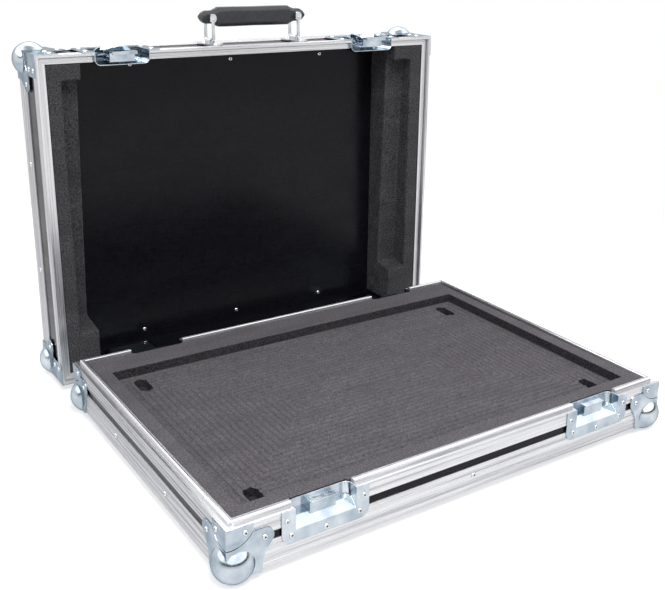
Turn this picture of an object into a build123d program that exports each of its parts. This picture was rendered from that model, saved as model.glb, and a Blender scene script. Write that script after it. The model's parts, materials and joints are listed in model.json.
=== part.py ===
from build123d import *
import os

os.makedirs("parts", exist_ok=True)

# Flight case with a shallow tray and a loose lid, in millimetres.
# The tray lies on its ball feet at the front, the lid stands on its back edge behind it.
# x runs to the right, y to the back and z up, with z = 0 on the surface the case stands on.

# Case
case_width = 620.0
case_depth = 450.0
tray_height = 56.5  # tray underside to the shoulder of its rim
lid_height = 82.0  # lid top to its mouth
rim_gap = 0.25  # between the two rims when the case is shut
stand_gap = tray_height + rim_gap  # tray back to the mouth of the standing lid

# Boards and aluminium sections
board_thick = 9.0
skin = 1.7  # wall of the aluminium sections
edge_leg = 30.0
rim_flange = 17.0
rim_lining = 1.6
rim_web = 2.2
rim_depth = skin + board_thick + rim_lining
tongue_rise = 5.0
tongue_start = 5.0  # outer face of the tray rim to its tongue
tongue_soft = 3.0  # how far the tongue's outer edge is rounded off
tongue_inner_soft = 1.0
tongue_round = 7.0  # radius of the tongue at the tray's corners
tongue_groove_in, tongue_groove_width, tongue_groove_cut = 2.4, 1.6, 1.2
lip_depth = 3.4  # thickness of the lid rim's outer lip
lip_groove_width, lip_groove_cut = 1.6, 1.5  # beside the lip
groove_room = tongue_rise + 0.4
groove_width = 1.3
groove_cut = 0.5
edge_grooves = 4
rim_grooves = 3

# Corners
ball_radius = 22.5
ball_inset = 12.0  # ball centre inside each outer face
ball_skin = 1.5
foot = ball_radius - ball_inset
lobe_along, lobe_up, lobe_radius = 41.0, 37.0, 10.5
panel_lobe = 38.0
brace_leg = 29.0
brace_thick = 1.2
brace_low = 34.0
neck_gap = 0.6  # from the edge of a ball corner up to the brace above it

# Latches and keepers, in the frame of one wall: x along, y to the mouth, z outwards
dish_offset = 197.5  # dish centre from the middle of the wall
dish_width = 75.0
dish_plate_width = 105.0
dish_depth = 17.0
dish_skin = 1.2
keeper_dish_height = 26.4
keeper_plate_height = 38.5
keeper_dish_slope = 10.0
dish_corner = 8.0
dish_knee = -9.0  # depth from which a dish's floor slopes out to the plate
latch_dish_height = 49.5
latch_plate_height = 60.0
latch_dish_slope = 2.0
keeper_width = 31.0
keeper_thick = 1.5
keeper_top = -3.0
keeper_front = -4.1
keeper_web = -6.3
keeper_play = 0.15  # from the keeper's foot to the dish's floor
rotor_centre = -27.0
rotor_radius = 13.8
rotor_low, rotor_high = -8.7, -5.0
stem_radius = 3.0
lug_thick = 2.4
lug_middle = 11.6  # middle of the axle to the middle of a lug
lug_reach = 5.4
lug_top = -0.6
wing_radius = 20.0
wing_pin_offset = 3.6
wing_pin_height = -2.9
wing_pin_radius = 1.0
wing_bore_radius = 1.05
wing_knuckle_radius = 1.9
wing_knuckle_half = 10.2
wing_root = 3.4  # pin to the edge of the wing beside its knuckle
wing_thick = 1.8
hook_width = 34.0
hook_thick = 1.8
hook_tail, hook_neck, hook_lip = -37.0, -5.8, 5.05
hook_low = -15.6  # underside of the hook plate when the hook is drawn in
hook_front = -1.1
hook_lip_reach = -5.4
hook_play = 0.3
hook_travel_out = 5.0
hook_travel_up = 4.8

# Handle on the lid's front wall
handle_shift = 13.0  # to the right of the middle
handle_line = 45.0  # from the lid's top face
handle_pitch = 137.0
base_length, base_width, base_thick = 55.0, 24.0, 2.0
base_rivet_out = 19.0
strap_half = 8.0
strap_radius = 3.85
loop_rod = 2.25
loop_half = 12.5
loop_bend = 4.5
loop_low = 5.0
loop_high = 37.5
rod_gap = 6.0
pivot_room = 0.1
eye_wide, eye_tall, eye_thick, eye_drop = 10.0, 12.0, 3.2, 1.0  # flattened ends of the loops beside the grip
grip_length = 165.0
grip_full = 113.0
grip_taper = 8.0
grip_tall = 27.0
grip_thick = 19.6
grip_round = 7.0
grip_end_thick = 16.0
grip_end_radius = 9.0

# Foam
foam_gap = 0.3
foam_top = 57.5
pocket_half_width = 278.5
pocket_front, pocket_back = 34.0, 392.0
pocket_floor = 43.0
slot_length, slot_width, slot_depth = 37.0, 17.0, 10.0
slot_half_pitch = 248.3
slot_front, slot_back = 57.5, 363.5
block_drop = 5.5  # lid mouth to the foam blocks, which end level with the rim's shoulder
block_width = {"left": 45.0, "right": 52.0}
strip_width = {"left": 19.0, "right": 21.0}
channel_low, channel_high = 67.5, 416.0
channel_ramp = 7.0  # how far the slanted lower end of a channel rises
channel_depth = {"left": (49.0, 17.5), "right": (33.0, 22.5)}  # at the low end and at the high end

# Blind rivets
rivet_radius = 3.3
rivet_head = 1.4
brace_rivet_in = 20.0
tray_brace_rivets = [49.0]  # heights above the panel's face
lid_brace_rivets = [53.0, 71.0]
keeper_plate_rivets = [(46.0, 12.0), (41.0, 29.0)]  # out from the dish's middle, down from the mouth
latch_plate_rivets = [(45.0, 14.0), (43.0, 46.0)]
keeper_foot_rivet, latch_foot_rivet = 33.2, 53.5
edge_rivet_height = 18.5
edge_rivet_out = 75.0  # either side of the middle of the short walls
panel_rivet_in = 26.0
panel_rivet_x = [-162.0, -7.0, 147.0]

# Frames of the two halves: z runs from the panel to the mouth, y from the near wall to the far one.
# The tray's near wall is its front. The lid's near wall is its back, which it stands on.
tray_front = -(case_depth + stand_gap + lid_height) / 2
tray = Plane(origin=(0, tray_front, foot), x_dir=(1, 0, 0), z_dir=(0, 0, 1))
lid_back = tray_front + case_depth + stand_gap + lid_height
lid = Plane(origin=(0, lid_back, foot), x_dir=(1, 0, 0), z_dir=(0, -1, 0))
dish_places = [(-dish_offset, 0), (dish_offset, 0)]  # along a wall


def spot(base, x=0.0, y=0.0, z=0.0, turn=(0, 0, 0)):
    """A plane moved and turned within the frame of another."""
    return Plane(base.location * Location((x, y, z), turn))


def wall(base, side):
    """The outer face of one wall: x along it, y from the panel to the mouth, z outwards."""
    x, y, angle = {
        "near": (0, 0, 0),
        "right": (case_width / 2, case_depth / 2, 90),
        "far": (0, case_depth, 180),
        "left": (-case_width / 2, case_depth / 2, -90),
    }[side]
    return spot(base, x, y, 0, (90, angle, 0))


def wall_length(side):
    return case_width if side in ("near", "far") else case_depth


def has_dishes(side):
    return side in ("near", "far")


def corner_places(base):
    """The four corners of a half, each with x and y running along its two walls."""
    half = case_width / 2
    return [
        spot(base, -half, 0, 0, (0, 0, 0)).location,
        spot(base, half, 0, 0, (0, 0, 90)).location,
        spot(base, half, case_depth, 0, (0, 0, 180)).location,
        spot(base, -half, case_depth, 0, (0, 0, 270)).location,
    ]


def finish(builder, label):
    builder.part.label = label
    export_step(builder.part, f"parts/{label}.step")


def panel_board(base, label):
    with BuildPart() as board:
        with BuildSketch(spot(base, 0, case_depth / 2, skin)):
            Rectangle(case_width - 2 * skin, case_depth - 2 * skin)
        extrude(amount=board_thick)
    finish(board, label)


def wall_board(base, side, top, dish_height, label):
    """A wall board standing on the panel board, with its dish cut-outs."""
    face = wall(base, side)
    inset = skin if has_dishes(side) else skin + board_thick
    length = wall_length(side) - 2 * inset
    low = skin + board_thick
    with BuildPart() as board:
        with BuildSketch(spot(face, 0, (low + top) / 2, -skin)):
            Rectangle(length, top - low)
        extrude(amount=-board_thick)
        if has_dishes(side):
            with BuildSketch(spot(face, 0, top - dish_height / 2)):
                with Locations(*dish_places):
                    Rectangle(dish_width, dish_height)
            extrude(amount=-case_depth / 4, mode=Mode.SUBTRACT)
    finish(board, label)


def section(base, side, points, grooves, depth, label, has_tongue=False, cut_dishes=False):
    """An aluminium section along one wall, mitred at both ends, with shallow grooves outside."""
    face, length = wall(base, side), wall_length(side)
    with BuildPart() as bar:
        with BuildSketch(spot(face, -length / 2, 0, 0, (0, 90, 0))):
            with BuildLine():
                Polyline(*points, close=True)
            make_face()
            for x, y, width, height in grooves:
                with Locations((x, y)):
                    Rectangle(width, height, mode=Mode.SUBTRACT)
        extrude(amount=length)
        with BuildSketch(spot(face, 0, -1, 0, (-90, 0, 0))):
            with BuildLine():
                near, far = length / 2 + 1, length / 2 - depth - 1
                Polyline((-near, -1), (near, -1), (far, depth + 1), (-far, depth + 1), close=True)
            make_face()
        extrude(amount=lid_height + 2, mode=Mode.INTERSECT)
        if has_tongue:
            across = case_width + case_depth - length
            with BuildSketch(spot(face, 0, tray_height, 0, (-90, 0, 0))):
                with Locations((0, across / 2)):
                    Rectangle(length, across)
                    RectangleRounded(
                        length - 2 * tongue_start, across - 2 * tongue_start, tongue_round, mode=Mode.SUBTRACT
                    )
            extrude(amount=tongue_rise, mode=Mode.SUBTRACT)
        if cut_dishes:
            with BuildSketch(spot(face, 0, 0, 1)):
                with Locations(*[(x, lid_height / 2) for x, _ in dish_places]):
                    Rectangle(dish_width, lid_height)
            extrude(amount=-edge_leg, mode=Mode.SUBTRACT)
    finish(bar, label)


def edge_section(base, side, label):
    """The angle over the edge between a wall and the panel, grooved on both outer faces."""
    leg, cut = edge_leg, groove_cut * 2
    points = [(0, 0), (leg, 0), (leg, skin), (skin, skin), (skin, leg), (0, leg)]
    steps = [leg * (i + 1) / (edge_grooves + 1) for i in range(edge_grooves)]
    grooves = [(0, y, cut, groove_width) for y in steps] + [(x, 0, groove_width, cut) for x in steps]
    section(base, side, points, grooves, leg, label)


def rim_section(base, side, height, tongue, label):
    """The section round the mouth: a tongue on the tray, a lip that closes over it on the lid."""
    shoulder = height if tongue else height - groove_room
    low, inner = height - rim_flange, shoulder - rim_web
    points = [(0, low), (skin, low), (skin, inner), (rim_depth - rim_lining, inner)]
    points += [(rim_depth - rim_lining, inner - 10), (rim_depth, inner - 10)]
    if tongue:
        top = height + tongue_rise
        soft = tongue_soft
        points += [(rim_depth, top - tongue_inner_soft), (rim_depth - tongue_inner_soft, top)]
        points += [(tongue_start + soft, top), (tongue_start + 0.3 * soft, top - 0.3 * soft)]
        points += [(tongue_start, top - soft), (tongue_start, height), (0, height)]
    else:
        points += [(rim_depth, shoulder), (lip_depth, shoulder), (lip_depth, height), (0, height)]
    step = rim_flange / (rim_grooves + 1)
    grooves = [(0, low + step * (i + 1), groove_cut * 2, groove_width) for i in range(rim_grooves)]
    if tongue:
        grooves.append((rim_depth - tongue_groove_in, top, tongue_groove_width, 2 * tongue_groove_cut))
    else:
        beside = lip_depth + lip_groove_width / 2
        grooves.append((beside, shoulder, lip_groove_width, 2 * lip_groove_cut))
    section(base, side, points, grooves, rim_depth, label, tongue, has_dishes(side))


def half_shell(base, name, height, tongue, dish_height, sides):
    """The boards and sections of the tray or the lid."""
    board_top = height - rim_web if tongue else height - groove_room - rim_web
    panel_board(base, f"{name}_panel_board")
    for side, word in sides.items():
        cut = dish_height - (height - board_top)
        wall_board(base, side, board_top, cut, f"{name}_{word}_board")
        rim_section(base, side, height, tongue, f"{name}_{word}_rim")
        edge_section(base, side, f"{name}_{word}_edge")


half_shell(
    tray,
    "tray",
    tray_height,
    True,
    keeper_dish_height,
    {"near": "front", "far": "back", "left": "left", "right": "right"},
)
half_shell(
    lid,
    "lid",
    lid_height,
    False,
    latch_dish_height,
    {"near": "back", "far": "front", "left": "left", "right": "right"},
)

# One stamped ball corner, with the case corner at its origin and the case on the positive side
neck = [(-ball_skin, 34.5), (17, 37.2), (28, 47.5)]  # an arc, from the case's edge up to the lobe
wall_arm = [neck[-1], (38.5, 47.5), (41, 37), (50.5, 32.5), (41.4, 19.5), (38.6, 12.5)]
wall_arm += [(37.5, -ball_skin), (-ball_skin, -ball_skin), neck[0]]
panel_arm = [(0, 0), (37.5, 0), (38.6, 12.5), (41.4, 19.5), (48, 30)]
panel_arm += [(30, 48), (19.5, 41.4), (12.5, 38.6), (0, 37.5)]
along_x = Plane(origin=(0, 0, 0), x_dir=(1, 0, 0), z_dir=(0, -1, 0))
along_y = Plane(origin=(0, 0, 0), x_dir=(0, 1, 0), z_dir=(1, 0, 0))
with BuildPart() as ball_corner:
    with Locations((ball_inset, ball_inset, ball_inset)):
        Sphere(ball_radius)
    for arm_plane, outward in ((along_x, 1), (along_y, -1)):
        with BuildSketch(arm_plane):
            with BuildLine():
                Polyline(*wall_arm)
                ThreePointArc(*neck)
            make_face()
            with Locations((lobe_along, lobe_up)):
                Circle(lobe_radius)
        extrude(amount=outward * ball_skin)
    with BuildSketch(Plane.XY):
        with BuildLine():
            Polyline(*panel_arm, close=True)
        make_face()
        with Locations((panel_lobe, panel_lobe)):
            Circle(lobe_radius)
    extrude(amount=-ball_skin)
    with Locations((ball_inset, ball_inset, ball_inset)):
        Sphere(ball_radius - ball_skin, mode=Mode.SUBTRACT)
    with Locations((case_depth / 2, case_depth / 2, case_depth / 2)):
        Box(case_depth, case_depth, case_depth, mode=Mode.SUBTRACT)


def corner_brace(low, high):
    """An angle plate over the upright edge of a corner, which ends along the neck of the ball corner."""
    out, leg = -brace_thick, brace_leg
    edge = [(x, y + neck_gap) for x, y in neck]
    beyond = [(leg + ball_skin, edge[-1][1]), (leg + ball_skin, low - 1), (edge[0][0], low - 1)]
    with BuildPart() as brace:
        with BuildSketch(Plane.XY.offset(low)):
            with BuildLine():
                Polyline((out, out), (leg, out), (leg, 0), (0, 0), (0, leg), (out, leg), close=True)
            make_face()
        extrude(amount=high - low)
        for arm_plane in (along_x, along_y):
            with BuildSketch(arm_plane):
                with BuildLine():
                    ThreePointArc(*edge)
                    Polyline(edge[-1], *beyond, edge[0])
                make_face()
            extrude(amount=2 * brace_thick, both=True, mode=Mode.SUBTRACT)
    return brace.part


def placed(part, places, label):
    """The same piece at several places, as separate solids of one node."""
    with BuildPart() as group:
        with Locations(*places):
            add(part)
    finish(group, label)


placed(ball_corner.part, corner_places(tray), "tray_ball_corners")
placed(ball_corner.part, corner_places(lid), "lid_ball_corners")
placed(corner_brace(brace_low, tray_height), corner_places(tray), "tray_corner_braces")
placed(corner_brace(brace_low, lid_height), corner_places(lid), "lid_corner_braces")


def dish_recess(height, slope, gap, top):
    """The block that a dish's recess fills, or its hollow when gap is the sheet's thickness."""
    half, back, corner = dish_width / 2 - gap, gap - dish_depth, dish_corner - gap
    bite = corner * (1 - 0.5**0.5)
    front, low = 2 * gap, gap - height
    with BuildPart() as block:
        with BuildSketch(Plane(origin=(0, top, 0), x_dir=(1, 0, 0), z_dir=(0, -1, 0))):
            with BuildLine():
                ThreePointArc((-half, back + corner), (bite - half, back + bite), (corner - half, back))
                Line((corner - half, back), (half - corner, back))
                ThreePointArc((half - corner, back), (half - bite, back + bite), (half, back + corner))
                Polyline((half, back + corner), (half, front), (-half, front), (-half, back + corner))
            make_face()
        extrude(amount=height + top)
        with BuildSketch(Plane(origin=(-dish_width, 0, 0), x_dir=(0, 1, 0), z_dir=(1, 0, 0))):
            with BuildLine():
                Polyline((top + 1, front + 1), (top + 1, back - 1), (low + slope, back - 1))
                Polyline((low + slope, back - 1), (low + slope, dish_knee), (low, front), (low, front + 1))
                Line((low, front + 1), (top + 1, front + 1))
            make_face()
        extrude(amount=2 * dish_width, mode=Mode.INTERSECT)
    return block.part


def pressed_dish(height, plate_height, slope):
    """A pressed steel dish, its mouth edge on y = 0: a flange plate round an open-topped recess."""
    with BuildPart() as pressing:
        with BuildSketch(Plane.XY):
            with Locations((0, -plate_height / 2)):
                Rectangle(dish_plate_width, plate_height)
        extrude(amount=dish_skin)
        fillet(pressing.edges().filter_by(Axis.Z).group_by(Axis.Y)[0], 12)
        fillet(pressing.edges().filter_by(Axis.Z).group_by(Axis.Y)[-1], 2)
        add(dish_recess(height, slope, 0, 0))
        add(dish_recess(height, slope, dish_skin, 5), mode=Mode.SUBTRACT)
    return pressing.part


def dish_spots(base, height):
    """The four places on the near and far walls where dishes sit, y = 0 on the mouth."""
    return [spot(wall(base, side), x, height) for side in ("near", "far") for x in (-dish_offset, dish_offset)]


keeper_spots = [place.location for place in dish_spots(tray, tray_height)]
latch_spots = [place.location for place in dish_spots(lid, lid_height)]
keeper_dish = pressed_dish(keeper_dish_height, keeper_plate_height, keeper_dish_slope)
latch_dish = pressed_dish(latch_dish_height, latch_plate_height, latch_dish_slope)
placed(keeper_dish, keeper_spots, "tray_keeper_dishes")
placed(latch_dish, latch_spots, "lid_latch_dishes")

# Keeper: a folded box on the back of its dish, whose top stands out over its front for the hook to catch
with BuildPart() as keeper:
    back, under = dish_skin - dish_depth, keeper_top - keeper_thick
    web_back = keeper_web - keeper_thick
    foot = keeper_dish_slope + dish_skin - keeper_dish_height + keeper_play
    fall = keeper_dish_slope / (2 * dish_skin - dish_knee)
    web_foot, side_foot = [foot - fall * (z - dish_knee) for z in (keeper_web, web_back)]
    with BuildSketch(Plane(origin=(-keeper_width / 2, 0, 0), x_dir=(0, 1, 0), z_dir=(1, 0, 0))):
        with BuildLine():
            Polyline((keeper_top, keeper_front), (keeper_top, back), (under, back), (under, web_back))
            Polyline((under, web_back), (side_foot, web_back), (web_foot, keeper_web), (under, keeper_web))
            Polyline((under, keeper_web), (under, keeper_front), (keeper_top, keeper_front))
        make_face()
    extrude(amount=keeper_width)
    for x in (-keeper_width / 2, keeper_width / 2 - keeper_thick):
        with BuildSketch(Plane(origin=(x, 0, 0), x_dir=(0, 1, 0), z_dir=(1, 0, 0))):
            with BuildLine():
                Polyline((under, web_back), (under, back), (foot, back), (foot, dish_knee))
                Polyline((foot, dish_knee), (side_foot, web_back), (under, web_back))
            make_face()
        extrude(amount=keeper_thick)
placed(keeper.part, keeper_spots, "tray_keepers")


def latch_pieces(place, name, turned, drawn, raised):
    """A butterfly latch in its dish: turned degrees, hook drawn in by a share, wings raised."""
    axle = spot(place, 0, rotor_centre, 0, (0, 0, 90 - turned))
    floor = dish_skin - dish_depth
    with BuildPart() as rotor:
        with BuildSketch(spot(axle, 0, 0, floor)):
            Circle(stem_radius)
        extrude(amount=rotor_low - floor)
        with BuildSketch(spot(axle, 0, 0, rotor_low)):
            Circle(rotor_radius)
        extrude(amount=rotor_high - rotor_low)
        with BuildSketch(spot(axle, 0, 0, rotor_high)):
            with Locations((lug_middle, 0), (-lug_middle, 0)):
                Rectangle(lug_thick, 2 * lug_reach)
        extrude(amount=lug_top - rotor_high)
        for side in (1, -1):
            with BuildSketch(spot(axle, -lug_middle, side * wing_pin_offset, wing_pin_height, (0, 90, 0))):
                Circle(wing_pin_radius)
            extrude(amount=2 * lug_middle)
    finish(rotor, f"{name}_rotor")

    for side, letter in ((0, "a"), (180, "b")):
        half = spot(axle, 0, 0, 0, (0, 0, side))
        leaf = spot(half, 0, wing_pin_offset, wing_pin_height, (raised, 0, 0))
        with BuildPart() as wing:
            with BuildSketch(spot(leaf, 0, 0, -wing_thick / 2)):
                with Locations((0, -wing_pin_offset)):
                    Circle(wing_radius)
                with Locations((0, -wing_radius)):
                    Rectangle(4 * wing_radius, 2 * wing_radius, mode=Mode.SUBTRACT)
                with Locations((wing_radius + wing_knuckle_half, 0), (-wing_radius - wing_knuckle_half, 0)):
                    Rectangle(2 * wing_radius, 2 * wing_root, mode=Mode.SUBTRACT)
            extrude(amount=wing_thick)
            with BuildSketch(spot(leaf, -wing_knuckle_half, 0, 0, (0, 90, 0))):
                Circle(wing_knuckle_radius)
            extrude(amount=2 * wing_knuckle_half)
            with BuildSketch(spot(leaf, -wing_radius, 0, 0, (0, 90, 0))):
                Circle(wing_bore_radius)
            extrude(amount=2 * wing_radius, mode=Mode.SUBTRACT)
        finish(wing, f"{name}_wing_{letter}")

    out = 1 - drawn
    lie = spot(place, 0, out * hook_travel_out, out * hook_travel_up)
    slot_low = rotor_centre - hook_travel_out - stem_radius - hook_play
    slot_high = rotor_centre + stem_radius + hook_play
    with BuildPart() as hook:
        with BuildSketch(spot(lie, -hook_width / 2, 0, 0, (0, 90, 0))):
            with BuildLine():
                low, high = -hook_low, -hook_front
                Polyline(
                    (low, hook_tail),
                    (low, hook_neck + hook_thick),
                    (high + hook_thick, hook_neck + hook_thick),
                    (high + hook_thick, hook_lip),
                    (-hook_lip_reach, hook_lip),
                    (-hook_lip_reach, hook_lip + hook_thick),
                    (high, hook_lip + hook_thick),
                    (high, hook_neck),
                    (low - hook_thick, hook_neck),
                    (low - hook_thick, hook_tail),
                    close=True,
                )
            make_face()
        extrude(amount=hook_width)
        with BuildSketch(lie):
            with Locations((0, (slot_low + slot_high) / 2)):
                Rectangle(2 * (stem_radius + hook_play), slot_high - slot_low)
        extrude(amount=-2 * dish_depth, mode=Mode.SUBTRACT)
    finish(hook, f"{name}_hook")


# The lid's far wall is its front when the case is shut, and there the case's left is at positive x.
latch_rests = {
    "front_left_latch": ("far", dish_offset, 90, 0.5, 35),
    "front_right_latch": ("far", -dish_offset, 0, 0, 35),
    "back_left_latch": ("near", -dish_offset, 0, 0, 0),
    "back_right_latch": ("near", dish_offset, 0, 0, 0),
}
for name, (side, x, turned, drawn, raised) in latch_rests.items():
    latch_pieces(spot(wall(lid, side), x, lid_height), name, turned, drawn, raised)

# Handle, in a frame on the lid's front wall: x to the case's left, y to the mouth, z outwards
handle = spot(wall(lid, "far"), -handle_shift, handle_line)
loop_names = {"left_loop": handle_pitch / 2, "right_loop": -handle_pitch / 2}
with BuildPart() as bases:
    for x in loop_names.values():
        with BuildSketch(spot(handle, x, 0, 0, (0, 0, 90))):
            SlotOverall(base_length, base_width)
        extrude(amount=base_thick)
        with BuildSketch(spot(handle, x, -strap_half, 0, (-90, 0, 0))):
            with Locations((0, -loop_low)):
                Circle(strap_radius)
            with Locations((0, -loop_low / 2)):
                Rectangle(2 * strap_radius, loop_low)
            with Locations((0, -loop_low)):
                Circle(loop_rod + pivot_room, mode=Mode.SUBTRACT)
        extrude(amount=2 * strap_half)
finish(bases, "handle_bases")

for name, x in loop_names.items():
    upright = spot(handle, x, 0, 0, (0, 90, 0))
    with BuildPart() as loop:
        with BuildLine(upright) as rod:
            FilletPolyline(
                (-loop_low, -rod_gap / 2),
                (-loop_low, -loop_half),
                (-loop_high, -loop_half),
                (-loop_high, loop_half),
                (-loop_low, loop_half),
                (-loop_low, rod_gap / 2),
                radius=loop_bend,
            )
        with BuildSketch(Plane(origin=rod.line @ 0, z_dir=rod.line % 0)):
            Circle(loop_rod)
        sweep()
        for y in (-loop_half, loop_half):
            with BuildSketch(spot(handle, x, y - eye_thick / 2, loop_high - eye_drop, (-90, 0, 0))):
                Ellipse(eye_wide / 2, eye_tall / 2)
            extrude(amount=eye_thick)
    finish(loop, f"handle_{name}")

with BuildPart() as grip:
    middle = grip_full / 2
    ends = ((1, 90), (-1, -90))
    with BuildSketch(spot(handle, -middle, 0, loop_high, (0, 90, 0))):
        RectangleRounded(grip_tall, grip_thick, grip_round)
    extrude(amount=grip_full)
    for sign, angle in ends:
        with BuildSketch(spot(handle, sign * middle, 0, loop_high, (0, angle, 0))):
            RectangleRounded(grip_tall, grip_thick, grip_round)
        with BuildSketch(spot(handle, sign * (middle + grip_taper), 0, loop_high, (0, angle, 0))):
            RectangleRounded(2 * grip_end_radius, grip_end_thick, grip_round - 1)
        loft()
        with BuildSketch(spot(handle, 0, -grip_end_thick / 2, loop_high, (-90, 0, 0))):
            reach = grip_length / 2 - grip_end_radius
            start = middle + grip_taper
            with Locations((sign * (start + reach) / 2, 0)):
                Rectangle(reach - start, 2 * grip_end_radius)
            with Locations((sign * reach, 0)):
                Circle(grip_end_radius)
        extrude(amount=grip_end_thick)
        with BuildSketch(spot(handle, sign * handle_pitch / 2, -grip_thick, loop_high, (-90, 0, 0))):
            Circle(loop_rod + pivot_room)
        extrude(amount=2 * grip_thick, mode=Mode.SUBTRACT)
finish(grip, "handle_grip")

# Tray foam, with its pocket, its four foot slots and the room round the keeper dishes
foam_inset = rim_depth + foam_gap
floor = skin + board_thick
with BuildPart() as tray_foam:
    with BuildSketch(spot(tray, 0, case_depth / 2, floor)):
        Rectangle(case_width - 2 * foam_inset, case_depth - 2 * foam_inset)
    extrude(amount=foam_top - floor)
    with BuildSketch(spot(tray, 0, (pocket_front + pocket_back) / 2, foam_top)):
        Rectangle(2 * pocket_half_width, pocket_back - pocket_front)
    extrude(amount=pocket_floor - foam_top, mode=Mode.SUBTRACT)
    with BuildSketch(spot(tray, 0, 0, pocket_floor)):
        for y in (slot_front, slot_back):
            with Locations((-slot_half_pitch, y), (slot_half_pitch, y)):
                SlotOverall(slot_length, slot_width, rotation=90)
    extrude(amount=-slot_depth, mode=Mode.SUBTRACT)
    with BuildSketch(spot(tray, 0, 0, foam_top)):
        notch = dish_depth + foam_gap
        for y in (notch / 2, case_depth - notch / 2):
            with Locations((-dish_offset, y), (dish_offset, y)):
                Rectangle(dish_width + 2 * foam_gap, notch)
    extrude(amount=tray_height - keeper_dish_height - foam_gap - foam_top, mode=Mode.SUBTRACT)
finish(tray_foam, "tray_foam")


def lid_foam(side, sign):
    """A foam block down one side of the lid, with a sloping channel that is open to the inside."""
    edge = case_width / 2 - foam_inset
    top = lid_height - block_drop
    width, strip = block_width[side], strip_width[side]
    deep, shallow = channel_depth[side]
    with BuildPart() as block:
        with BuildSketch(spot(lid, sign * (edge - width / 2), case_depth / 2, floor)):
            Rectangle(width, case_depth - 2 * foam_inset)
        extrude(amount=top - floor)
        with BuildSketch(spot(lid, sign * (edge - strip), 0, 0, (0, 90, 0))):
            with BuildLine():
                Polyline(
                    (-top - 1, channel_low),
                    (-top, channel_low),
                    (deep - top, channel_low + channel_ramp),
                    (shallow - top, channel_high),
                    (-top - 1, channel_high),
                    close=True,
                )
            make_face()
        extrude(amount=sign * (strip - width - 1), mode=Mode.SUBTRACT)
    finish(block, f"lid_{side}_foam")


lid_foam("left", -1)
lid_foam("right", 1)

# One blind rivet head, its underside at the origin
with BuildPart() as rivet:
    Cone(rivet_radius, rivet_radius / 2, rivet_head, align=(Align.CENTER, Align.CENTER, Align.MIN))


def half_rivets(base, height, brace_heights, dish_rows, dish_foot):
    """Places of the rivets on the outside of a half."""
    places = []
    for side in ("near", "far", "left", "right"):
        face = wall(base, side)
        half = wall_length(side) / 2
        for sign in (-1, 1):
            places.append(spot(face, sign * (half - lobe_along), lobe_up, ball_skin))
            places += [spot(face, sign * (half - brace_rivet_in), y, brace_thick) for y in brace_heights]
        row = [0] if has_dishes(side) else [-edge_rivet_out, edge_rivet_out]
        places += [spot(face, x, edge_rivet_height) for x in row]
    for place in dish_spots(base, height):
        for sign in (-1, 1):
            places += [spot(place, sign * out, -drop, dish_skin) for out, drop in dish_rows]
        places.append(spot(place, 0, -dish_foot, dish_skin))
    for corner in corner_places(base):
        places.append(spot(Plane(corner), panel_lobe, panel_lobe, -ball_skin, (180, 0, 0)))
    for y in (panel_rivet_in, case_depth - panel_rivet_in):
        places += [spot(base, x, y, 0, (180, 0, 0)) for x in panel_rivet_x]
    for x in (case_width / 2 - panel_rivet_in, panel_rivet_in - case_width / 2):
        for y in (case_depth / 2 - edge_rivet_out, case_depth / 2 + edge_rivet_out):
            places.append(spot(base, x, y, 0, (180, 0, 0)))
    return places


tray_rivets = half_rivets(tray, tray_height, tray_brace_rivets, keeper_plate_rivets, keeper_foot_rivet)
lid_rivets = half_rivets(lid, lid_height, lid_brace_rivets, latch_plate_rivets, latch_foot_rivet)
for x in loop_names.values():
    lid_rivets += [spot(handle, x, y, base_thick) for y in (-base_rivet_out, base_rivet_out)]
for y in (panel_rivet_in, case_depth - panel_rivet_in):
    lid_rivets += [spot(lid, x, y, floor) for x in panel_rivet_x]
placed(rivet.part, [place.location for place in tray_rivets], "tray_rivets")
placed(rivet.part, [place.location for place in lid_rivets], "lid_rivets")
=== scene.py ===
import json
import math

import bmesh
import bpy
from mathutils import Matrix, Vector

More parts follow.
